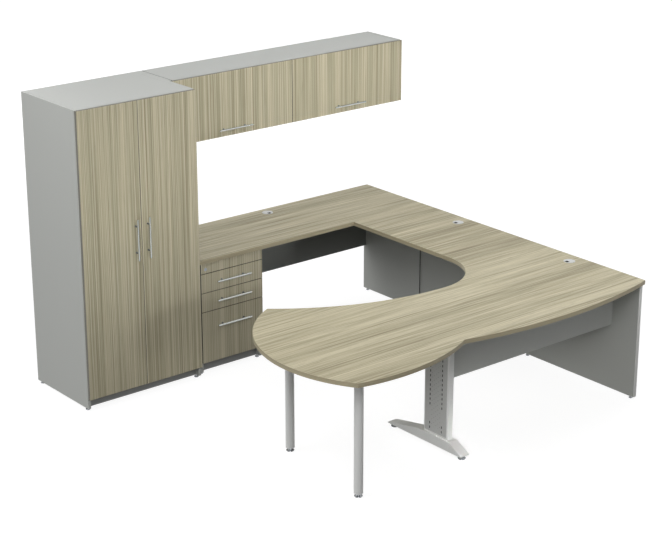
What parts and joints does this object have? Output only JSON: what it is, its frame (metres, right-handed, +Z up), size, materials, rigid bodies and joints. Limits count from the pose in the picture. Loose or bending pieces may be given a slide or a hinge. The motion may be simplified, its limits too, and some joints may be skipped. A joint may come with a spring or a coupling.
{
  "type": "executive desk workstation",
  "caption": "U-shaped executive workstation: bow-front desk with round meeting end, bridge, credenza with drawer pedestal, overhead flap cabinet and tall two-door cabinet.",
  "frame": {"origin": "middle of the floor box, on the floor", "axes": "+Z up; +Y towards the wall that the cabinets back onto; +X along that wall from the tall cabinet to the bridge side"},
  "size_m": [2.6, 2.622, 1.8],
  "materials": {
    "wood_laminate": "matt greige wood-grain laminate",
    "grey_board": "matt light grey melamine",
    "dark_board": "matt dark grey melamine",
    "leg_paint": "satin light grey powder coat",
    "handle_metal": "brushed",
    "fitting_steel": "zinc plated",
    "lock_metal": "polished",
    "glide_chrome": "polished",
    "grommet_silver": "satin silver-grey plastic"
  },
  "bodies": {
    "root": {"pedestal_lock_rail": "wood_laminate", "credenza_top": "wood_laminate", "bridge_top": "wood_laminate", "desk_top": "wood_laminate", "cabinet_left_side": "grey_board", "cabinet_right_side": "grey_board", "cabinet_top": "grey_board", "cabinet_bottom": "grey_board", "cabinet_back": "grey_board", "cabinet_shelves": "grey_board", "overhead_left_side": "grey_board", "overhead_right_side": "grey_board", "overhead_top": "grey_board", "overhead_bottom": "grey_board", "overhead_back": "grey_board", "overhead_divider": "grey_board", "credenza_gable": "grey_board", "credenza_modesty": "grey_board", "pedestal_left_side": "grey_board", "pedestal_right_side": "grey_board", "pedestal_bottom": "grey_board", "pedestal_back": "grey_board", "bridge_panel": "grey_board", "desk_gable": "grey_board", "desk_modesty": "grey_board", "plinths": "dark_board", "t_leg_column": "leg_paint", "t_leg_cover": "leg_paint", "t_leg_foot": "leg_paint", "post_legs": "leg_paint", "hinge_arms": "fitting_steel", "drawer_runners": "fitting_steel", "steel_brackets": "fitting_steel", "levelling_glides": "glide_chrome", "grommet_rings": "grommet_silver"},
    "left_door": {"left_door": "wood_laminate", "left_door_handle": "handle_metal", "left_door_hinge_cups": "fitting_steel"},
    "right_door": {"right_door": "wood_laminate", "right_door_handle": "handle_metal", "right_door_hinge_cups": "fitting_steel"},
    "left_flap": {"left_flap": "wood_laminate", "left_flap_handle": "handle_metal", "left_flap_hinge_cups": "fitting_steel"},
    "right_flap": {"right_flap": "wood_laminate", "right_flap_handle": "handle_metal", "right_flap_hinge_cups": "fitting_steel"},
    "top_drawer": {"top_drawer_front": "wood_laminate", "top_drawer_box": "grey_board", "top_drawer_handle": "handle_metal"},
    "middle_drawer": {"middle_drawer_front": "wood_laminate", "middle_drawer_box": "grey_board", "middle_drawer_handle": "handle_metal"},
    "file_drawer": {"file_drawer_front": "wood_laminate", "file_drawer_box": "grey_board", "file_drawer_handle": "handle_metal"},
    "drawer_lock": {"drawer_lock": "lock_metal"},
    "credenza_cap": {"credenza_grommet_cap": "grommet_silver"},
    "bridge_cap": {"bridge_grommet_cap": "grommet_silver"},
    "desk_cap": {"desk_grommet_cap": "grommet_silver"}
  },
  "joints": [
    {"name": "left_door_swing", "type": "hinge", "parent": "root", "child": "left_door", "pos_m": [-1.298, 0.721, 0.9], "axis": [0, 0, -1], "range_deg": [0, 90]},
    {"name": "right_door_swing", "type": "hinge", "parent": "root", "child": "right_door", "pos_m": [-0.502, 0.721, 0.9], "axis": [0, 0, 1], "range_deg": [0, 90]},
    {"name": "left_flap_lift", "type": "hinge", "parent": "root", "child": "left_flap", "pos_m": [-0.05, 0.971, 1.798], "axis": [-1, 0, 0], "range_deg": [0, 90]},
    {"name": "right_flap_lift", "type": "hinge", "parent": "root", "child": "right_flap", "pos_m": [0.85, 0.971, 1.798], "axis": [-1, 0, 0], "range_deg": [0, 90]},
    {"name": "top_drawer_slide", "type": "slide", "parent": "root", "child": "top_drawer", "axis": [0, -1, 0], "range_m": [0, 0.38]},
    {"name": "middle_drawer_slide", "type": "slide", "parent": "root", "child": "middle_drawer", "axis": [0, -1, 0], "range_m": [0, 0.38]},
    {"name": "file_drawer_slide", "type": "slide", "parent": "root", "child": "file_drawer", "axis": [0, -1, 0], "range_m": [0, 0.4]},
    {"name": "lock_turn", "type": "hinge", "parent": "root", "child": "drawer_lock", "pos_m": [-0.445, 0.746, 0.683], "axis": [0, 1, 0], "range_deg": [0, 90]},
    {"name": "credenza_cap_turn", "type": "hinge", "parent": "root", "child": "credenza_cap", "pos_m": [0.395, 1.235, 0.75], "axis": [0, 0, 1], "continuous": true},
    {"name": "bridge_cap_turn", "type": "hinge", "parent": "root", "child": "bridge_cap", "pos_m": [1.203, 0.305, 0.75], "axis": [0, 0, 1], "continuous": true},
    {"name": "desk_cap_turn", "type": "hinge", "parent": "root", "child": "desk_cap", "pos_m": [1.203, -0.66, 0.75], "axis": [0, 0, 1], "continuous": true}
  ]
}
